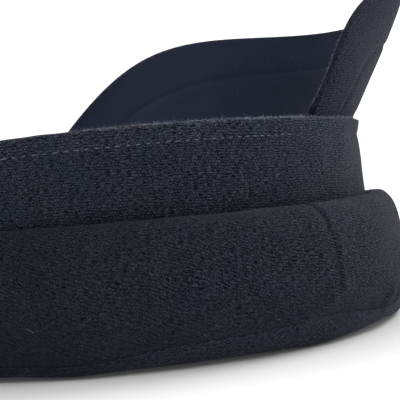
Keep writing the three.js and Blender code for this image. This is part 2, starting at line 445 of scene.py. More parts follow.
def lumps(turn, along, seed, reach, fewest=9, most=34):
    """Soft unevenness round the cap: whole waves round the turn, free waves along the cloth."""
    terms = 16
    rng = np.random.default_rng(seed)
    total = np.zeros(np.broadcast(turn, along).shape)
    for _ in range(terms):
        waves = rng.integers(fewest, most)
        length = rng.uniform(12, 45) * MM * rng.choice([-1, 1])
        phase = rng.uniform(0, 2 * math.pi)
        total += np.cos(waves * turn + 2 * math.pi * along / length + phase)
    return reach * total / math.sqrt(terms)


def ring_point(size, turn, out, up):
    """Points of the rim's oval, moved out along its normal and up, with the soft crown's lean."""
    across = size.rim_half_length * np.sin(turn)
    along = -size.rim_half_width * np.cos(turn)
    reach = np.hypot(across, along)
    x = size.rim_half_width * np.sin(turn) + out * across / reach
    y = -size.rim_half_length * np.cos(turn) + out * along / reach
    z = up - RIM_LEAN * x * np.minimum(1.0, up / size.crown_stand)
    return np.stack(np.broadcast_arrays(x, y, z), axis=-1)


def curve_through(points, share):
    """Places on the centripetal curve through a list of points, at shares of its rows."""
    ends = [2 * points[0] - points[1], 2 * points[-1] - points[-2]]
    points = np.vstack([ends[0], points, ends[1]])
    place = share * (len(points) - 3)
    first = np.minimum(place.astype(int), len(points) - 4)
    weight = (place - first)[..., None]
    before, start, end, after = (points[first + k] for k in range(4))
    lead, span, trail = (
        np.linalg.norm(b - a, axis=-1, keepdims=True) ** 0.5
        for a, b in ((before, start), (start, end), (end, after))
    )
    leave = ((start - before) / lead - (end - before) / (lead + span) + (end - start) / span) * span
    reach = ((end - start) / span - (after - start) / (span + trail) + (after - end) / trail) * span
    square = -3 * start + 3 * end - 2 * leave - reach
    cube = 2 * start - 2 * end + leave + reach
    return start + leave * weight + square * weight**2 + cube * weight**3


def fold_share(size, turn, up):
    total = 0.0
    for fold in FOLDS:
        away = turn_between(turn, math.radians(fold.at)) / math.radians(fold.wide)
        rise = (up / size.crown_stand - fold.up) / fold.tall
        total = total + fold.out * np.exp(-away * away - rise * rise)
    return total


def crown_face(size, turn, share):
    """Outer face of the crown as distance out from the band's seam and height."""
    turn, share = np.broadcast_arrays(turn, share)
    top = size.crown_stand - size.seam_gap
    rows = np.array(CROWN_ROWS) * [size.crown_puff, top, MM]
    point = curve_through(rows, np.clip(share, 0.0, 1.0))
    sway = wave_sum(SEAM_WAVES, turn) + rise_sum(SEAM_DIPS, turn)
    row = share * (len(CROWN_ROWS) - 1)
    crest = smooth_step(row, *CREST_IN) * (1 - smooth_step(row, *CREST_OUT))
    crest = crest * rise_sum(CREST_LIFTS, turn)
    up = np.maximum(0.0, point[..., 1] + size.crown_stand * (sway * point[..., 2] / MM + crest))
    swell = point[..., 0] * (1 + wave_sum(SWELL_WAVES, turn))
    out = swell + size.crown_puff * fold_share(size, turn, up)
    tucked = share < 0
    return np.where(tucked, share * size.band_wall, out), np.where(tucked, top, up)


def crown_point(size, turn, share, depth, past=0.0):
    """Points of the crown's cloth, at a depth below its outer face and a distance past the share."""
    step = 1e-3
    out_a, up_a = crown_face(size, turn, share - step)
    out_b, up_b = crown_face(size, turn, share + step)
    run = np.hypot(out_b - out_a, up_b - up_a)
    run_out, run_up = (out_b - out_a) / run, (up_b - up_a) / run
    out, up = crown_face(size, turn, share)
    out = size.band_flare + out + run_up * depth + run_out * past
    return ring_point(size, turn, out, up - run_out * depth + run_up * past)


def crown_lengths(size, shares):
    """Length along the cloth at shares of the crown's section, from the band's seam."""
    fine = np.linspace(0.0, 1.0, 400)
    out, up = crown_face(size, np.full_like(fine, -math.pi / 2), fine)
    total = running_length(np.hypot(np.diff(out), np.diff(up)))
    return np.interp(shares, fine, total) + np.minimum(0.0, shares) * size.band_wall


def crease_height(size, turn, up):
    """Height of the narrow ridges and grooves of the crown, in metres."""
    radius = mean_radius(size, size.crown_puff)
    total = np.zeros(np.broadcast(turn, up).shape)
    for crease in CREASES:
        ax, bx = (math.radians(t) * radius for t in (crease.turn_a, crease.turn_b))
        ay, by = (u * size.crown_stand for u in (crease.up_a, crease.up_b))
        x, y = turn * radius - ax, up - ay
        run_x, run_y = bx - ax, by - ay
        share = np.clip((x * run_x + y * run_y) / (run_x**2 + run_y**2), 0.0, 1.0)
        away = np.hypot(x - share * run_x, y - share * run_y) / (crease.wide * MM)
        total = total + crease.high * MM * np.exp(-away * away)
    return total


def roll_height(size, turn, share):
    """How far the tip's rolled edge lifts off the floor."""
    lift = size.roll_lift + MM * rise_sum(ROLL_LIFTS, turn)
    return lift * smooth_step(share, *ROLL_SHARES)


def edge_drop(distance, radius):
    """How far a cloth's face falls as it rolls into a seam, by the distance from the seam."""
    left = np.clip(radius - distance, 0.0, radius)
    return radius - np.sqrt(radius**2 - left**2)


def side_seam_turn(size, share):
    drop = smooth_step(share, 0.0, TIP_SEAM)
    bend = math.radians(SEAM_BEND.up) * np.exp(-((share - SEAM_BEND.at) / SEAM_BEND.wide) ** 2)
    return size.crown_seam_top + (size.crown_seam_foot - size.crown_seam_top) * drop + bend


def side_turn(size, back, along, share):
    """Turn at a place along a side piece, from -1 to 1 between its two seams."""
    seam = side_seam_turn(size, share)
    margin = SIDE_SEAM_OPEN * size.seam_gap / size.rim_half_width
    if back:
        return math.pi + along * (math.pi - seam - margin)
    return along * (seam - margin)


def peak_width(size, along):
    share = (1 - np.abs(along) ** OUTLINE_POWER) ** OUTLINE_FALL
    return size.peak_wing_end + (size.peak_depth - size.peak_wing_end) * share


def peak_point(size, along, run, depth, past=0.0):
    """Points of the peak: along its wings, a share of the run from hem to edge, a depth below
    its outer face and a distance past the run."""
    turn = along * size.peak_spread
    width = peak_width(size, along)
    rise = size.peak_slope + WING_RISE * along**2 + WING_EASE * along**4
    arch = size.peak_arch * np.minimum(1.0, 2 * width / size.peak_depth)
    bow = arch * np.maximum(0.0, 4 * run * (1 - run)) - depth
    reach = run * width + past
    foot = size.crown_stand + size.band_height + size.seam_gap
    level, upright = np.cos(rise), np.sin(rise)
    sink = smooth_step(run, *FOOT_TURN)
    out = reach * level + bow * upright * sink - size.peak_inset
    out = out - (1 - sink) * depth / upright
    return ring_point(size, turn, out, foot + reach * upright - bow * level * sink)


def band_relief(size, turn, up):
    """How far the band's outer face stands off its plain form."""
    below = size.band_height - up
    press = HEM_PRESS * np.exp(-((below - size.hem_stitch_drop) / HEM_PRESS_SPREAD) ** 2)
    loose = np.exp(-(turn_between(turn, LOOSE_TURN) / LOOSE_SPREAD) ** 2)
    puff = HEM_PUFF + LOOSE_PUFF * loose
    puff = puff * smooth_step(up, size.band_height - size.hem_stitch_drop, size.band_height - MM)
    relief = lumps(turn, up, seed=4, reach=0.13 * MM) - press + puff + BAND_SWELL
    return relief * smooth_step(up, 0.0, 4 * MM)


# Meshes

def folded_rows(grid, edge):
    """Rows of a wall that goes up its outer face, over a round edge and down its inner face: the
    share of the height and the share across the wall of each row."""
    over = np.linspace(0.0, 1.0, edge + 2)[1:-1]
    up, down = np.linspace(0.0, 1.0, grid.outer), np.linspace(1.0, 0.0, grid.inner)
    rise = np.concatenate([up, np.ones(edge), down, [0.0]])
    return rise, np.concatenate([0 * up, over, np.ones(grid.inner), [0.0]])


def mapped_grid(columns, rows, place, cloth, paint=None):
    """A grid bent by place(u, v), with cloth(u, v) in millimetres as its cloth map. u and v run
    from 0 to 1 along the columns and the rows. Faces take the lowest material of paint(u, v)."""
    bm = bmesh.new()
    bmesh.ops.create_grid(bm, x_segments=columns, y_segments=rows, size=0.5)
    bm.verts.index_update()
    shares = np.array([vert.co[:2] for vert in bm.verts]) + 0.5
    points = place(shares[:, 0], shares[:, 1])
    measures = cloth(shares[:, 0], shares[:, 1])
    layer = bm.loops.layers.uv.new("cloth")
    for face in bm.faces:
        for loop in face.loops:
            loop[layer].uv = measures[loop.vert.index]
    if paint is not None:
        marks = paint(shares[:, 0], shares[:, 1])
        for face in bm.faces:
            face.material_index = int(min(marks[vert.index] for vert in face.verts))
    for vert, point in zip(bm.verts, points):
        vert.co = point
    return bm


def row_values(v, values):
    """The listed value of each place's row."""
    values = np.asarray(values)
    return values[np.rint(v * (len(values) - 1)).astype(int)]


def close_shell(bm, caps=False):
    """Welds a grid's meeting edges, caps its open ends and turns its faces outward."""
    bmesh.ops.remove_doubles(bm, verts=bm.verts, dist=1e-6)
    bmesh.ops.dissolve_degenerate(bm, edges=bm.edges, dist=1e-7)
    if caps:
        edges = [edge for edge in bm.edges if edge.is_boundary]
        ends = bmesh.ops.holes_fill(bm, edges=edges, sides=0)["faces"]
        layer = bm.loops.layers.uv["cloth"]
        for face in ends:
            for loop in face.loops:
                beside = next(other for other in loop.vert.link_loops if other.face is not face)
                loop[layer].uv = beside[layer].uv
        bmesh.ops.triangulate(bm, faces=ends)
    bmesh.ops.recalc_face_normals(bm, faces=bm.faces)


def add_object(name, data):
    """Puts a new object in the scene."""
    added = bpy.data.objects.new(name, data)
    bpy.context.scene.collection.objects.link(added)
    return added


def new_piece(bm, name, material, slot, replaced=()):
    """Makes a mesh object of the cap and hides the solids that it stands for."""
    mesh = bpy.data.meshes.new(name)
    bm.to_mesh(mesh)
    bm.free()
    mesh.polygons.foreach_set("use_smooth", [True] * len(mesh.polygons))
    mesh.set_sharp_from_angle(angle=math.radians(55))
    mesh.materials.append(material)
    piece = add_object(name, mesh)
    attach(piece, BODY)
    if replaced:
        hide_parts(*replaced)
    return piece


def template_mesh(bm):
    """Places and faces of a small shape that is copied, which is then let go."""
    bm.verts.index_update()
    local = np.array([vert.co[:] for vert in bm.verts])
    faces = [[vert.index for vert in face.verts] for face in bm.faces]
    bm.free()
    return local, faces


def joined_copies(points, faces, name, material, slot):
    """One mesh of copies of the same faces, from the points of each copy."""
    count = points.shape[1]
    every = [[corner + n * count for corner in face] for n in range(len(points)) for face in faces]
    mesh = bpy.data.meshes.new(name)
    mesh.from_pydata(points.reshape(-1, 3).tolist(), [], every)
    bm = bmesh.new()
    bm.from_mesh(mesh)
    bpy.data.meshes.remove(mesh)
    return new_piece(bm, name, material, slot)


# Shaders

class Value:
    """A shader number that takes part in Python arithmetic by adding Math nodes."""

    def __init__(self, shader, socket):
        self.shader = shader
        self.socket = socket

    def __add__(self, other):
        return self.shader.maths("ADD", self, other)

    def __radd__(self, other):
        return self.shader.maths("ADD", other, self)

    def __sub__(self, other):
        return self.shader.maths("SUBTRACT", self, other)

    def __rsub__(self, other):
        return self.shader.maths("SUBTRACT", other, self)

    def __mul__(self, other):
        return self.shader.maths("MULTIPLY", self, other)

    def __rmul__(self, other):
        return self.shader.maths("MULTIPLY", other, self)

    def __truediv__(self, other):
        return self.shader.maths("DIVIDE", self, other)

    def __rtruediv__(self, other):
        return self.shader.maths("DIVIDE", other, self)


class Shader:
    """The nodes of one material or of the world."""

    def __init__(self, owner):
        owner.use_nodes = True
        self.owner = owner
        self.tree = owner.node_tree
        self.tree.nodes.clear()

    def node(self, kind, settings=(), inputs=()):
        """Adds a node, with its settings and the values or links of its sockets."""
        node = self.tree.nodes.new(kind)
        for key, value in dict(settings).items():
            setattr(node, key, value)
        for key, value in dict(inputs).items():
            if isinstance(value, Value):
                self.tree.links.new(value.socket, node.inputs[key])
            else:
                node.inputs[key].default_value = value
        return node

    def value(self, kind, settings=(), inputs=(), output=0):
        return Value(self, self.node(kind, settings, inputs).outputs[output])

    def maths(self, operation, *values):
        return self.value("ShaderNodeMath", {"operation": operation}, dict(enumerate(values)))

    def vector(self, operation, *values, output="Vector"):
        settings = {"operation": operation}
        return self.value("ShaderNodeVectorMath", settings, dict(enumerate(values)), output)

    def parts(self, vector):
        """The numbers of a vector along its axes."""
        split = self.node("ShaderNodeSeparateXYZ", {}, {0: vector})
        return [Value(self, socket) for socket in split.outputs]

    def place(self):
        return self.value("ShaderNodeTexCoord", output="Object")

    def cloth_map(self):
        return self.value("ShaderNodeUVMap", {"uv_map": "cloth"})

    def mixed(self, factor, low, high):
        """A colour between two others."""
        inputs = {0: factor, 6: low, 7: high}
        return self.value("ShaderNodeMix", {"data_type": "RGBA"}, inputs, output=2)

    def noise(self, vector, scale, detail, output=0):
        inputs = {"Vector": vector, "Scale": scale, "Detail": detail}
        return self.value("ShaderNodeTexNoise", {}, inputs, output)

    def eased(self, value, low, high):
        """0 below low, 1 above high and smooth between."""
        inputs = {"Value": value, "From Min": low, "From Max": high}
        return self.value("ShaderNodeMapRange", {"interpolation_type": "SMOOTHSTEP"}, inputs)

    def drift(self, vector, scale, detail, reach):
        """A random shift, up to half the reach each way."""
        shift = self.noise(vector, scale, detail, output="Color")
        shift = self.vector("SUBTRACT", shift, (0.5, 0.5, 0.5))
        return self.vector("MULTIPLY", shift, reach)

    def bumped(self, height, strength, distance):
        inputs = {"Height": height, "Strength": strength, "Distance": distance}
        return self.value("ShaderNodeBump", {}, inputs)

    def surface(self, inputs):
        """Closes the material on a Principled shader."""
        surface = self.value("ShaderNodeBsdfPrincipled", {}, inputs)
        self.node("ShaderNodeOutputMaterial", {}, {"Surface": surface})
        return self.owner


def opaque(colour, share=1.0):
    """A colour with its alpha, made darker or lighter by a share."""
    return (*(share * part for part in colour), 1.0)


def woven_threads(shader, finish, slant, wander, seed):
    """Short threads in loose staggered rows on the cloth map. Gives the turned cloth map in mm,
    how high each place of the cloth stands and a chance for each thread, both from 0 to 1."""
    cloth = shader.cloth_map()
    shift = shader.drift(cloth, DRIFT_WAVES, 2.0, (wander, wander, 0.0))
    small = shader.drift(cloth, WOBBLE_WAVES, 1.0, WOBBLE_REACH)
    turned = shader.value("ShaderNodeMapping", {}, {
        "Vector": shader.vector("ADD", shader.vector("ADD", cloth, shift), small),
        "Location": (seed, 0.37 * seed, 0.0),
        "Rotation": (0.0, 0.0, slant),
    })
    turned_x, turned_y, _ = shader.parts(turned)
    row = turned_y / finish.row_pitch
    row_number = shader.maths("FLOOR", row)
    stagger = shader.maths("FRACT", row_number * 0.5 + 0.13 * shader.maths("SINE", row_number * 7.1))
    column = turned_x / finish.thread_length + stagger
    cell = shader.value("ShaderNodeCombineXYZ", {}, {0: shader.maths("FLOOR", column), 1: row_number})
    chance = shader.value("ShaderNodeTexWhiteNoise", {"noise_dimensions": "2D"}, {"Vector": cell})
    across = shader.maths("FRACT", row) * 2.0 - 1.0
    along = shader.maths("FRACT", column) * 2.0 - 1.0
    height = (1.0 - across * across) * (1.0 - along * along)
    return turned, height, chance


def cloth_material(name, finish, slant, wander, seed, lift, contrast, paint=None):
    """Dark wool cloth with short light threads under a brushed nap that lies along them. lift
    brightens its colours, and paint gives how strong the threads are and the painted light and
    shade of the cloth by the place on the cloth map."""
    shader = Shader(bpy.data.materials.new(name))
    turned, height, chance = woven_threads(shader, finish, slant, wander, seed)
    nap = shader.noise(shader.vector("MULTIPLY", turned, NAP_WAVES), 1.0, 1.0)
    fine = shader.noise(shader.vector("MULTIPLY", turned, FINE_WAVES), 1.0, 0.0)
    patches = shader.noise(turned, PATCH_WAVES, 3.0)
    threads = (height * (0.4 + chance * 0.6) - MEAN_HEIGHT) * finish.weave_share
    light = threads + (nap - 0.5) * finish.nap_share
    light = light + (fine - 0.5) * FINE_SHARE + (patches - 0.5) * PATCH_SHARE
    gain, shade = 1.0, 1.0
    if paint:
        across, down, _ = shader.parts(shader.cloth_map())
        gain, shade = paint(shader, across, down)
    light = shader.maths("MAXIMUM", light * contrast * gain + MEAN_LIGHT, 0.0) * shade
    low, high = (
        opaque(part * share for part, share in zip(colour, lift))
        for colour in (finish.hollow, finish.thread)
    )
    colour = shader.mixed(shader.maths("MINIMUM", light, 1.0), low, high)
    tint = shader.noise(turned, TINT_WAVES, 2.0)
    tint = shader.mixed(tint, opaque(finish.cool), opaque(finish.warm))
    return shader.surface({
        "Base Color": shader.vector("MULTIPLY", colour, tint),
        "Roughness": 0.92,
        "Specular IOR Level": 0.06,
        "Sheen Weight": 0.03,
        "Sheen Roughness": 0.5,
        "Sheen Tint": (0.85, 0.87, 1.0, 1.0),
        "Normal": shader.bumped(nap + fine * 0.5 + height * 0.3, 0.6, 0.2 * MM),
    })


def map_turn(across, radius):
    """Degrees of turn at a distance across the cloth map of a ring of cloth."""
    return across / (radius / MM) * math.degrees(1.0)


def crispness(shader, turn, low, high):
    """How crisp the threads show round the cap: low at the back of the near side, high in front."""
    rise = shader.eased(turn, *SHARPEN)
    return low + rise * (high - low) + shader.eased(turn, *SOFTEN) * (1.0 - high)


def painted_light_change(shader, place, tones):
    """The changes of painted light and shade that are passed at a place on the cloth."""
    return sum(tone.change * shader.eased(place, tone.start, tone.end) for tone in tones)


def thread_material(name, colour, share, roughness, sheen=0.0):
    """A thread or fibre in a share of a colour, with a slight change of tone along it."""
    shader = Shader(bpy.data.materials.new(name))
    low = opaque(colour, 0.6 * share)
    high = opaque(min(1.0, 1.35 * share * part) for part in colour)
    return shader.surface({
        "Base Color": shader.mixed(shader.noise(shader.place(), 420.0, 1.0), low, high),
        "Roughness": roughness,
        "Specular IOR Level": 0.25,
        "Sheen Weight": sheen,
    })


# Pieces

class CapOperator(bpy.types.Operator):
    """Base of the operators that sew one piece of the cap"""

    bl_options = {"REGISTER", "UNDO"}

    def execute(self, context):
        self.sew(context.scene.cap_sizes, context.scene.cap_finish)
        return {"FINISHED"}


class CAP_OT_crown_sides(CapOperator):
    """Sews the front and back side pieces of the crown, which meet in two side seams"""

    bl_idname = "cap.crown_sides"
    bl_label = "Crown sides"

    def sew(self, size, finish):
        radius = mean_radius(size, size.crown_puff)
        seam = side_seam_turn(size, 0.5) * radius / MM

        def paint(shader, across, down):
            turn = map_turn(across, radius)
            # Painted light and shade: darker at the back of the near side and lighter further forward,
            # lighter on the crest in front of the side seam, and a painted shade in the side seam's
            # groove.
            crest = painted_light_change(shader, turn, CREST_PAINTED_LIGHTS) * (1.0 - shader.eased(down, *CREST_FADE))
            painted_light = SIDE_PAINTED_LIGHT + painted_light_change(shader, turn, SIDE_PAINTED_LIGHTS) + crest
            off_seam = shader.maths("ABSOLUTE", across + seam)
            beside = (1.0 - shader.eased(off_seam, *SHADE_WIDE)) * (1.0 - shader.eased(down, *SHADE_FADE))
            gain = crispness(shader, turn, low=0.97, high=1.88)
            gain = gain * (1.0 - CRISP_LOSS * shader.eased(down, *CRISP_FADE))
            return gain, painted_light * (1.0 - SHADE_LOSS * beside)

        cloth = cloth_material(
            "crown_side_wool", finish, slant=math.radians(-18), wander=9.0, seed=11.0,
            lift=(1.06, 1.06, 1.08), contrast=0.75, paint=paint)
        self.side(size, False, "crown_side_front", cloth)
        self.side(size, True, "crown_side_back", cloth)

    def side(self, size, back, node, material):
        """Sews one side piece. Its upper edge is tucked in under the band."""
        tuck = np.linspace(-1.0, -0.25, 4)
        outer = np.concatenate([tuck, np.linspace(0.0, TIP_SEAM, SIDE_GRID.outer)])
        inner = np.concatenate([np.linspace(TIP_SEAM, 0.0, SIDE_GRID.inner), tuck[:1]])
        shares = np.concatenate([outer, inner, outer[:1]])
        inside = np.concatenate([np.zeros(len(outer)), np.ones(len(inner)), [0.0]])
        lengths = crown_lengths(size, shares)
        seam_length = crown_lengths(size, np.array([TIP_SEAM]))[0]

        def place(u, v):
            share, wall, length = (row_values(v, row) for row in (shares, inside, lengths))
            turn = side_turn(size, back, 2 * u - 1, share)
            drop = edge_drop(seam_length - length, SEAM_ROUND * size.crown_wall)
            _, up = crown_face(size, turn, share)
            relief = lumps(turn, length, seed=5 + back, reach=0.16 * MM)
            relief = relief * smooth_step(length, 0.0, 8 * MM)
            relief = relief + crease_height(size, turn_between(turn, 0.0), up)
            depth = np.where(wall > 0, size.crown_wall, drop) - relief
            past = np.where(share >= TIP_SEAM, -TIP_SEAM_REACH * size.seam_gap, 0.0)
            return crown_point(size, turn, share, depth, past)

        def cloth(u, v):
            turn = side_turn(size, back, 2 * u - 1, 0.5) - 2 * math.pi * back
            across = turn * mean_radius(size, size.crown_puff)
            return np.stack([across, row_values(v, lengths)], axis=-1) / MM

        bm = mapped_grid(SIDE_GRID.columns, len(shares) - 1, place, cloth)
        close_shell(bm, caps=True)
        new_piece(bm, node + "_cloth", material, "crown_cloth", [node])


class CAP_OT_crown_tip(CapOperator):
    """Sews the crown's tip, rolled up at its edge and flat where it rests"""

    bl_idname = "cap.crown_tip"
    bl_label = "Crown tip"

    def sew(self, size, finish):
        def paint(shader, across, down):
            # Painted shade: the tip is darker towards the back of its near side, where its roll turns
            # under to the floor, and lighter in front.
            return 1.0, TIP_PAINTED_LIGHT + painted_light_change(shader, down, TIP_PAINTED_LIGHTS)

        material = cloth_material(
            "crown_tip_wool", finish, slant=math.radians(65), wander=6.0, seed=23.0,
            lift=(1.25, 1.25, 1.3), contrast=0.64, paint=paint)
        side = np.linspace(TIP_SEAM, 1.0, TIP_GRID.outer)
        rise = np.linspace(1.0, TIP_SEAM, TIP_GRID.inner)
        floor = np.ones(len(FLOOR_STEPS))
        shares = np.concatenate([side, floor, floor, rise, side[:1]])
        inward = np.concatenate([0 * side, FLOOR_STEPS, FLOOR_STEPS[::-1], 0 * rise, [0.0]])
        inside = np.concatenate([0 * side, 0 * floor, floor, np.ones(len(rise)), [0.0]])
        seam_length, last_length = crown_lengths(size, np.array([TIP_SEAM, 1.0]))
        belows = crown_lengths(size, shares) - seam_length

        def place(u, v):
            turn = full_turn(u)
            rows = (shares, inside, inward, belows)
            share, wall, toward, below = (row_values(v, row) for row in rows)
            drop = edge_drop(below, SEAM_ROUND * size.crown_wall)
            relief = lumps(turn, below, seed=9, reach=0.12 * MM) * smooth_step(below, 0.0, 3 * MM)
            relief = relief * (1 - smooth_step(share, 0.84, 0.9))
            _, up = crown_face(size, turn, share)
            relief = relief + crease_height(size, turn_between(turn, 0.0), up) * (up > 0.5 * MM)
            depth = np.where(wall > 0, size.crown_wall, drop) - relief
            past = np.where(share <= TIP_SEAM, TIP_SEAM_REACH * size.seam_gap, 0.0)
            point = crown_point(size, turn, share, depth, past)
            centre = np.stack([0 * share, 0 * share, wall * size.crown_wall], axis=-1)
            point = point + (centre - point) * toward[:, None]
            settled = smooth_step(toward, 0.0, FLOOR_STEPS[3])
            return raised(point, roll_height(size, turn, share) * (1 - settled))

        def cloth(u, v):
            turn = full_turn(u)
            below = row_values(v, belows)
            rolled = below - 0.3 * np.minimum(below, 14 * MM)
            radius = size.rim_half_width + last_length - seam_length - rolled
            radius = 1.1 * radius * (1 - row_values(v, inward))
            return np.stack([radius * np.sin(turn), radius * np.cos(turn)], axis=-1) / MM

        bm = mapped_grid(TIP_GRID.columns, len(shares) - 1, place, cloth)
        close_shell(bm)
        new_piece(bm, "crown_tip_cloth", material, "crown_cloth", ["crown_tip"])


class CAP_OT_band(CapOperator):
    """Sews the band, a ring of doubled cloth with a rounded hem"""

    bl_idname = "cap.band"
    bl_label = "Band"

    def sew(self, size, finish):
        radius = mean_radius(size)
        stitched = (size.hem_stitch_drop - size.band_height) / MM

        def paint(shader, across, down):
            gain = crispness(shader, map_turn(across, radius), low=0.88, high=1.5)
            # Painted light: the band is lighter from just below the hem's stitches up to the rim, where
            # the hem's puff faces up into the light.
            return gain, BAND_PAINTED_LIGHT + HEM_PAINTED_LIGHT * shader.eased(down, stitched + 1.0, stitched - 2.5)

        material = cloth_material(
            "band_wool", finish, slant=math.radians(-3), wander=2.2, seed=37.0,
            lift=(1.22, 1.24, 1.28), contrast=1.15, paint=paint)
        rises, acrosses = folded_rows(BAND_GRID, 11)
        hem = HEM_ROLL * size.band_wall

        def place(u, v):
            turn = full_turn(u)
            rise, across = row_values(v, rises), row_values(v, acrosses)
            up = rise * (size.band_height - hem)
            top = np.where(rise >= 1, hem * half_round(across), 0.0)
            wobble = lumps(turn, 0 * turn, seed=3, reach=0.14 * MM, fewest=12, most=60)
            out = size.band_flare * (1 - rise) - across * size.band_wall
            out = out + np.where(across > 0, 0.0, band_relief(size, turn, up))
            lift = (up + top) * (1 + rise_sum(HEM_DIPS, turn)) + wobble * rise
            return ring_point(size, turn, out, size.crown_stand + lift)

        def cloth(u, v):
            up = row_values(v, rises) * size.band_height + row_values(v, acrosses) * size.band_wall
            return np.stack([full_turn(u) * radius, -up], axis=-1) / MM

        bm = mapped_grid(BAND_GRID.columns, len(rises) - 1, place, cloth)
        close_shell(bm)
        new_piece(bm, "band_cloth_ring", material, "band_cloth", ["band"])


class CAP_OT_peak(CapOperator):
    """Sews the covered peak, cupped, with its stitched inner line"""

    bl_idname = "cap.peak"
    bl_label = "Peak"

    def sew(self, size, finish):
        upper = cloth_material(
            "peak_wool", finish, slant=math.radians(4), wander=3.0, seed=51.0,
            lift=(0.73, 0.76, 0.96), contrast=1.35)
        under = self.under_material(size, finish)
        runs, acrosses = folded_rows(PEAK_GRID, 13)

        def place(u, v):
            along = 2 * u - 1
            run, across = row_values(v, runs), row_values(v, acrosses)
            width = peak_width(size, along)
            from_line = width * (1 - run) - size.peak_stitch_inset
            groove = np.exp(-(from_line / GROOVE_SPREAD) ** 2)
            groove = groove * smooth_step(width - size.peak_stitch_inset, 0.0, 3 * MM)
            pressed = np.select([across <= 0, across >= 1], [GROOVE_OUTER, -GROOVE_UNDER], 0.0)
            slit = SLIT_DEPTH * np.exp(-((across - 0.5) / SLIT_SPREAD) ** 2)
            slit = slit * smooth_step(np.abs(along), *SLIT_WING)
            past = np.where(run >= 1, 0.5 * size.peak_wall * half_round(across) - slit, 0.0)
            return peak_point(size, along, run, across * size.peak_wall + pressed * groove, past)

        def cloth(u, v):
            along = (2 * u - 1) * size.rim_half_length * size.peak_spread
            up = row_values(v, runs) * peak_width(size, 2 * u - 1)
            return np.stack([along, -up - row_values(v, acrosses) * size.peak_wall], axis=-1) / MM

        def paint(u, v):
            return row_values(v, acrosses) >= 1

        bm = mapped_grid(PEAK_GRID.columns, len(runs) - 1, place, cloth, paint)
        close_shell(bm, caps=True)
        piece = new_piece(bm, "peak_covered", upper, "peak_cloth", ["peak"])
        piece.data.materials.append(under)

    def under_material(self, size, finish):
        """Smooth close cloth with painted light and shade: lighter towards the far wing and, on the near
        wing, towards the free edge, and darkest inside the near part.
        """
        shader = Shader(bpy.data.materials.new("peak_under_wool"))
        cloth = shader.cloth_map()
        along, down, _ = shader.parts(cloth)
        reach = size.rim_half_length * size.peak_spread / MM
        depth = size.peak_depth / MM
        # Painted light towards the far wing and the near wing's free edge; painted shade on the near wing
        # towards the hem.
        far = shader.eased(along, 0.10 * reach, 0.75 * reach)
        edge = shader.eased(down, -0.5 * depth, -0.95 * depth)
        patches = shader.noise(cloth, 0.10, 3.0)
        fine = shader.noise(cloth, 1.1, 2.0)
        tone = 0.80 + far + 0.14 * edge * (1.0 - far) + (patches - 0.5) * 0.4 + (fine - 0.5) * 0.9
        return shader.surface({
            "Base Color": shader.mixed(tone * 0.5, opaque(BLACK), opaque(finish.under, 2.0)),
            "Roughness": 0.95,
            "Specular IOR Level": 0.05,
            "Sheen Weight": 0.02,
            "Normal": shader.bumped(fine, 0.3, 0.1 * MM),
        })


class CAP_OT_stitching(CapOperator):
    """Sews the stitching of the hem and of the peak"""

    bl_idname = "cap.stitching"
    bl_label = "Stitching"

    def sew(self, size, finish):
        light = thread_material("sewing_thread", finish.stitch, 1.0, roughness=0.6)
        up = size.band_height - size.hem_stitch_drop
        flare = size.band_flare * size.hem_stitch_drop / size.band_height

        def hem(turn, off):
            height = size.crown_stand + up * (1 + rise_sum(HEM_DIPS, turn))
            out = flare + band_relief(size, turn, up) - rise_sum(STITCH_SINKS, turn) * MM
            return ring_point(size, turn, out + off + HEM_STITCH_OFF, height)

        def peak(turn, off):
            along = turn / size.peak_spread
            run = 1 - size.peak_stitch_inset / peak_width(size, along)
            return peak_point(size, along, run, PEAK_STITCH_DEPTH - off)

        turns = self.even_turns(size)
        self.row(size, turns, hem, "hem_stitches", light, "band_cloth")
        dark = thread_material("peak_thread", finish.thread, 0.43, roughness=0.6)
        turns = turns[np.abs(turns) < PEAK_STITCH_SPREAD * size.peak_spread]
        self.row(size, turns, peak, "peak_stitches", dark, "peak_cloth")

    def even_turns(self, size):
        """Turns at an even pitch round the rim."""
        fine = np.linspace(-math.pi, math.pi, 2001)
        ring = ring_point(size, fine, 0.0, size.crown_stand)
        total = running_length(np.linalg.norm(np.diff(ring, axis=0), axis=1))
        count = round(total[-1] / size.stitch_pitch)
        return np.interp(np.arange(count) / count * total[-1], total, fine)

    def row(self, size, turns, point, name, material, slot):
        """A row of stitches along turns. point gives places at a turn and a height off the cloth."""
        rng = np.random.default_rng(STITCH_SEED)
        step = 1e-3
        here = point(turns, 0.0)
        along = unit(point(turns + step, 0.0) - point(turns - step, 0.0))
        out = unit(point(turns, MM) - here)
        side = np.cross(out, along)
        tilt = rng.normal(0.0, 0.10, len(turns))[:, None]
        along, side = along + tilt * side, side - tilt * along
        length = size.stitch_pitch * rng.uniform(0.42, 0.78, len(turns))[:, None]
        here = here + rng.normal(-0.04, 0.07, len(turns))[:, None] * MM * out
        axes = np.stack([along * length, side * STITCH_WIDE, out * STITCH_HIGH], axis=1)
        template = bmesh.new()
        bmesh.ops.create_uvsphere(template, u_segments=8, v_segments=6, radius=0.5)
        local, faces = template_mesh(template)
        points = here[:, None, :] + np.einsum("vk,nkc->nvc", local, axes)
        joined_copies(points, faces, name, material, slot)


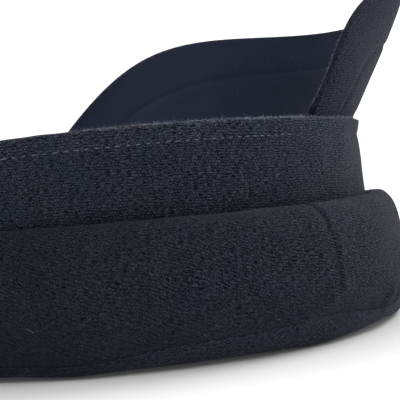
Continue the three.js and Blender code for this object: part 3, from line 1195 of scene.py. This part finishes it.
class CAP_OT_nap(CapOperator):
    """Adds the loose fibres and the lint that stand off the cloth"""

    bl_idname = "cap.nap"
    bl_label = "Nap"

    def sew(self, size, finish):
        # The pale fibres on the hem and the peak's edge carry that painted glow; those on the crown and
        # the band are half as light.
        fibre = thread_material("loose_fibre", finish.fibre, 1.0, roughness=0.7, sheen=0.3)
        faint = thread_material("faint_fibre", finish.fibre, 0.5, roughness=0.7, sheen=0.2)
        rng = np.random.default_rng(NAP_SEED)
        self.hem(size, rng, finish.fibres, fibre)
        self.crown(size, rng, finish.fibres, faint)
        self.band(size, rng, finish.fibres // 2, faint)
        self.peak(size, rng, finish.fibres, fibre)
        self.lint(size, rng, finish)

    def hem(self, size, rng, count, material):
        turn = rng.uniform(-math.pi, math.pi, count)
        over = rng.uniform(0.0, 1.0, count)
        lift = size.band_height - HEM_ROLL * size.band_wall * (1 - half_round(over))

        def face(turn, off):
            up = size.crown_stand + (lift + off) * (1 + rise_sum(HEM_DIPS, turn)) - 0.1 * MM
            return ring_point(size, turn, 0.5 * MM * (1 - over) - over * size.band_wall, up)

        self.grow(rng, face, turn, 0.16 * MM, 0.45, "hem_nap", material, "band_cloth")

    def crown(self, size, rng, count, material):
        """Covers the crown down to just above the floor."""
        turn = rng.uniform(-math.pi, math.pi, count)
        side = rng.random(count) < 0.7
        share = np.where(side, rng.uniform(0.08, 0.80, count), rng.uniform(0.80, 0.87, count))

        def face(turn, off):
            return raised(crown_point(size, turn, share, -off), roll_height(size, turn, share))

        self.grow(rng, face, turn, 0.10 * MM, 0.15, "crown_nap", material, "crown_cloth")

    def band(self, size, rng, count, material):
        turn = rng.uniform(-math.pi, math.pi, count)
        high = rng.uniform(0.05, 0.93, count)

        def face(turn, off):
            up = high * size.band_height
            out = size.band_flare * (1 - high) + band_relief(size, turn, up) + off
            return ring_point(size, turn, out, size.crown_stand + up)

        self.grow(rng, face, turn, 0.10 * MM, 0.15, "band_nap", material, "band_cloth")

    def peak(self, size, rng, count, material):
        """Lines the peak's free edge, mostly on its underside."""
        turn = rng.uniform(-1.0, 1.0, count) * size.peak_spread
        foot = np.abs(turn) > 0.92 * size.peak_spread
        side = np.where(rng.random(count) < 0.06 + 0.1 * foot, 0.08, 0.96)

        def face(turn, off):
            return peak_point(size, turn / size.peak_spread, 1.0 + 0 * turn, side * size.peak_wall, off)

        self.grow(rng, face, turn, 0.13 * MM, 0.3, "peak_nap", material, "peak_cloth")

    def lint(self, size, rng, finish):
        """Scatters bright lint over the crown, with one longer curl on the near side."""
        light = thread_material("lint", finish.lint, 1.0, roughness=0.7)
        turn = rng.uniform(-math.pi, math.pi, LINT_SPOTS)
        share = rng.uniform(0.2, 0.7, LINT_SPOTS)
        lift = np.full(LINT_SPOTS, LINT_LIFT)
        turn[0], share[0], lift[0] = CURL_TURN, CURL_SHARE, CURL_LIFT
        root = crown_point(size, turn, share, -lift)
        out = unit(crown_point(size, turn, share, -lift - MM) - root)
        ahead = unit(crown_point(size, turn + 1e-3, share, -lift) - root)
        down = np.cross(ahead, out)
        swing = rng.uniform(-1.2, 1.2, (LINT_SPOTS, 1))
        growth = ahead * np.cos(swing) + down * np.sin(swing)
        bend = rng.normal(0.0, 0.5, (LINT_SPOTS, 1)) * np.cross(growth, out)
        length = rng.uniform(0.6, 1.7, LINT_SPOTS) * MM
        growth[0] = 0.8 * ahead[0] + 0.9 * down[0]
        bend[0] = -0.75 * down[0]
        length[0] = CURL_LENGTH
        fibres(root, growth, bend, length, LINT_RADIUS, "lint_fibres", light, "crown_cloth")

    def grow(self, rng, face, turn, reach, lift, name, material, slot):
        """Grows fibres off a face given as places at turns and a height off the cloth."""
        count = len(turn)
        root = face(turn, 0.0)
        out = unit(face(turn, MM) - root)
        ahead = unit(face(turn + 1e-3, 0.0) - face(turn - 1e-3, 0.0))
        growth = lift * out + 0.35 * rng.normal(0.0, 1.0, (count, 3))
        growth = unit(growth + ahead * rng.normal(0.0, 0.8, (count, 1)))
        sunk = np.maximum(0.0, 0.1 - np.sum(growth * out, axis=1, keepdims=True))
        length = rng.gamma(3.0, reach, count) + reach
        bend = rng.normal(0.0, 0.4, (count, 3))
        fibres(root, growth + sunk * out, bend, length, FIBRE_RADIUS, name, material, slot)


def fibres(root, growth, bend, length, radius, name, material, slot):
    """Thin bent fibres in one mesh."""
    template = bmesh.new()
    bmesh.ops.create_cone(template, cap_ends=True, segments=3, radius1=1.0, radius2=0.35, depth=1.0)
    upright = [e for e in template.edges if abs(e.verts[0].co.z - e.verts[1].co.z) > 0.5]
    bmesh.ops.subdivide_edges(template, edges=upright, cuts=1, use_grid_fill=True)
    local, faces = template_mesh(template)
    share = (local[:, 2] + 0.5)[None, :, None]
    side = unit(np.cross(growth, bend))
    other = np.cross(growth, side)
    reach = length[:, None, None]
    points = root[:, None, :] + reach * (share * growth[:, None, :] + share**2 * bend[:, None, :])
    for axis, way in enumerate((side, other)):
        points = points + radius * local[None, :, axis, None] * way[:, None, :]
    joined_copies(points, faces, name, material, slot)


class CAP_OT_stage(CapOperator):
    """Sets the pale floor, the soft light and the camera"""

    bl_idname = "cap.stage"
    bl_label = "Stage"

    def sew(self, size, finish):
        scene = bpy.context.scene
        scene.view_settings.view_transform = "Standard"
        self.floor()
        scene.world = self.surround()
        axes = self.camera(size)
        for lamp in LAMPS:
            self.lamp(lamp, axes, Vector((0.0, 0.0, size.crown_stand)))

    def floor(self):
        bm = bmesh.new()
        bmesh.ops.create_grid(bm, x_segments=1, y_segments=1, size=FLOOR_HALF)
        mesh = bpy.data.meshes.new("floor")
        bm.to_mesh(mesh)
        bm.free()
        shader = Shader(bpy.data.materials.new("pale_floor"))
        place = shader.place()
        away = shader.vector("LENGTH", place, output="Value")
        tone = shader.noise(place, 30.0, 2.0)
        mesh.materials.append(shader.surface({
            "Base Color": shader.mixed(tone, opaque(FLOOR_DARK), opaque(FLOOR_LIGHT)),
            "Roughness": 0.9,
            "Specular IOR Level": 0.1,
            # The floor glows, weakly near the cap as a painted shadow and more strongly away from it.
            "Emission Color": shader.mixed(
                shader.eased(away, *FLOOR_FADE), opaque(NEAR_GLOW), opaque(WHITE)),
            "Emission Strength": FAR_GLOW,
        }))
        floor = add_object("floor", mesh)

    def surround(self):
        """White light from all sides, a little stronger from one."""
        shader = Shader(bpy.data.worlds.new("studio"))
        way = shader.value("ShaderNodeTexCoord", output="Generated")
        slant = shader.vector("DOT_PRODUCT", way, STUDIO_SLANT, output="Value")
        inputs = {"Color": opaque(WHITE), "Strength": slant + STUDIO_LIGHT}
        background = shader.value("ShaderNodeBackground", {}, inputs)
        shader.node("ShaderNodeOutputWorld", {}, {"Surface": background})
        return shader.owner

    def lamp(self, lamp, axes, target):
        """Adds a square lamp that shines at the target."""
        right, up, back = axes
        data = bpy.data.lights.new(lamp.name, "AREA")
        data.size = LAMP_WIDTH
        data.energy = lamp.power
        place = target + lamp.right * right + lamp.back * back + lamp.up * up
        added = add_object(lamp.name, data)
        added.location = place
        added.rotation_euler = (target - place).to_track_quat("-Z", "Y").to_euler()

    def camera(self, size):
        """Places the camera and gives its three axes: right, up and back."""
        yaw, pitch, roll = size.camera_turns
        level = math.cos(pitch)
        view = Vector((level * math.cos(yaw), level * math.sin(yaw), math.sin(pitch)))
        side = view.cross(Vector((0.0, 0.0, 1.0))).normalized()
        upright = side.cross(view)
        right = math.cos(roll) * side + math.sin(roll) * upright
        up = math.cos(roll) * upright - math.sin(roll) * side
        data = bpy.data.cameras.new("camera")
        data.sensor_width = 36.0
        data.lens = size.camera_lens
        camera = add_object("camera", data)
        turn = Matrix((right, up, -view)).transposed().to_4x4()
        camera.matrix_world = Matrix.Translation(Vector(size.camera_place)) @ turn
        bpy.context.scene.camera = camera
        return right, up, -view


PIECES = [
    CAP_OT_stage,
    CAP_OT_crown_tip,
    CAP_OT_crown_sides,
    CAP_OT_band,
    CAP_OT_peak,
    CAP_OT_stitching,
    CAP_OT_nap,
]


class CAP_PT_sidebar(bpy.types.Panel):
    """Lists the pieces of the cap"""

    bl_label = "Fisherman Cap"
    bl_space_type = "VIEW_3D"
    bl_region_type = "UI"
    bl_category = "Cap"

    def draw(self, context):
        for operator in PIECES:
            self.layout.operator(operator.bl_idname)
        for group in (context.scene.cap_sizes, context.scene.cap_finish):
            for name in group.bl_rna.properties.keys():
                if name not in ("rna_type", "name"):
                    self.layout.prop(group, name)


CLASSES = [CapSizes, CapFinish, *PIECES, CAP_PT_sidebar]


def register():
    for cls in CLASSES:
        bpy.utils.register_class(cls)
    bpy.types.Scene.cap_sizes = PointerProperty(type=CapSizes)
    bpy.types.Scene.cap_finish = PointerProperty(type=CapFinish)


def unregister():
    del bpy.types.Scene.cap_finish
    del bpy.types.Scene.cap_sizes
    for cls in reversed(CLASSES):
        bpy.utils.unregister_class(cls)


def main():
    register()
    for operator in PIECES:
        group, name = operator.bl_idname.split(".")
        getattr(getattr(bpy.ops, group), name)()


if __name__ == "__main__":
    main()
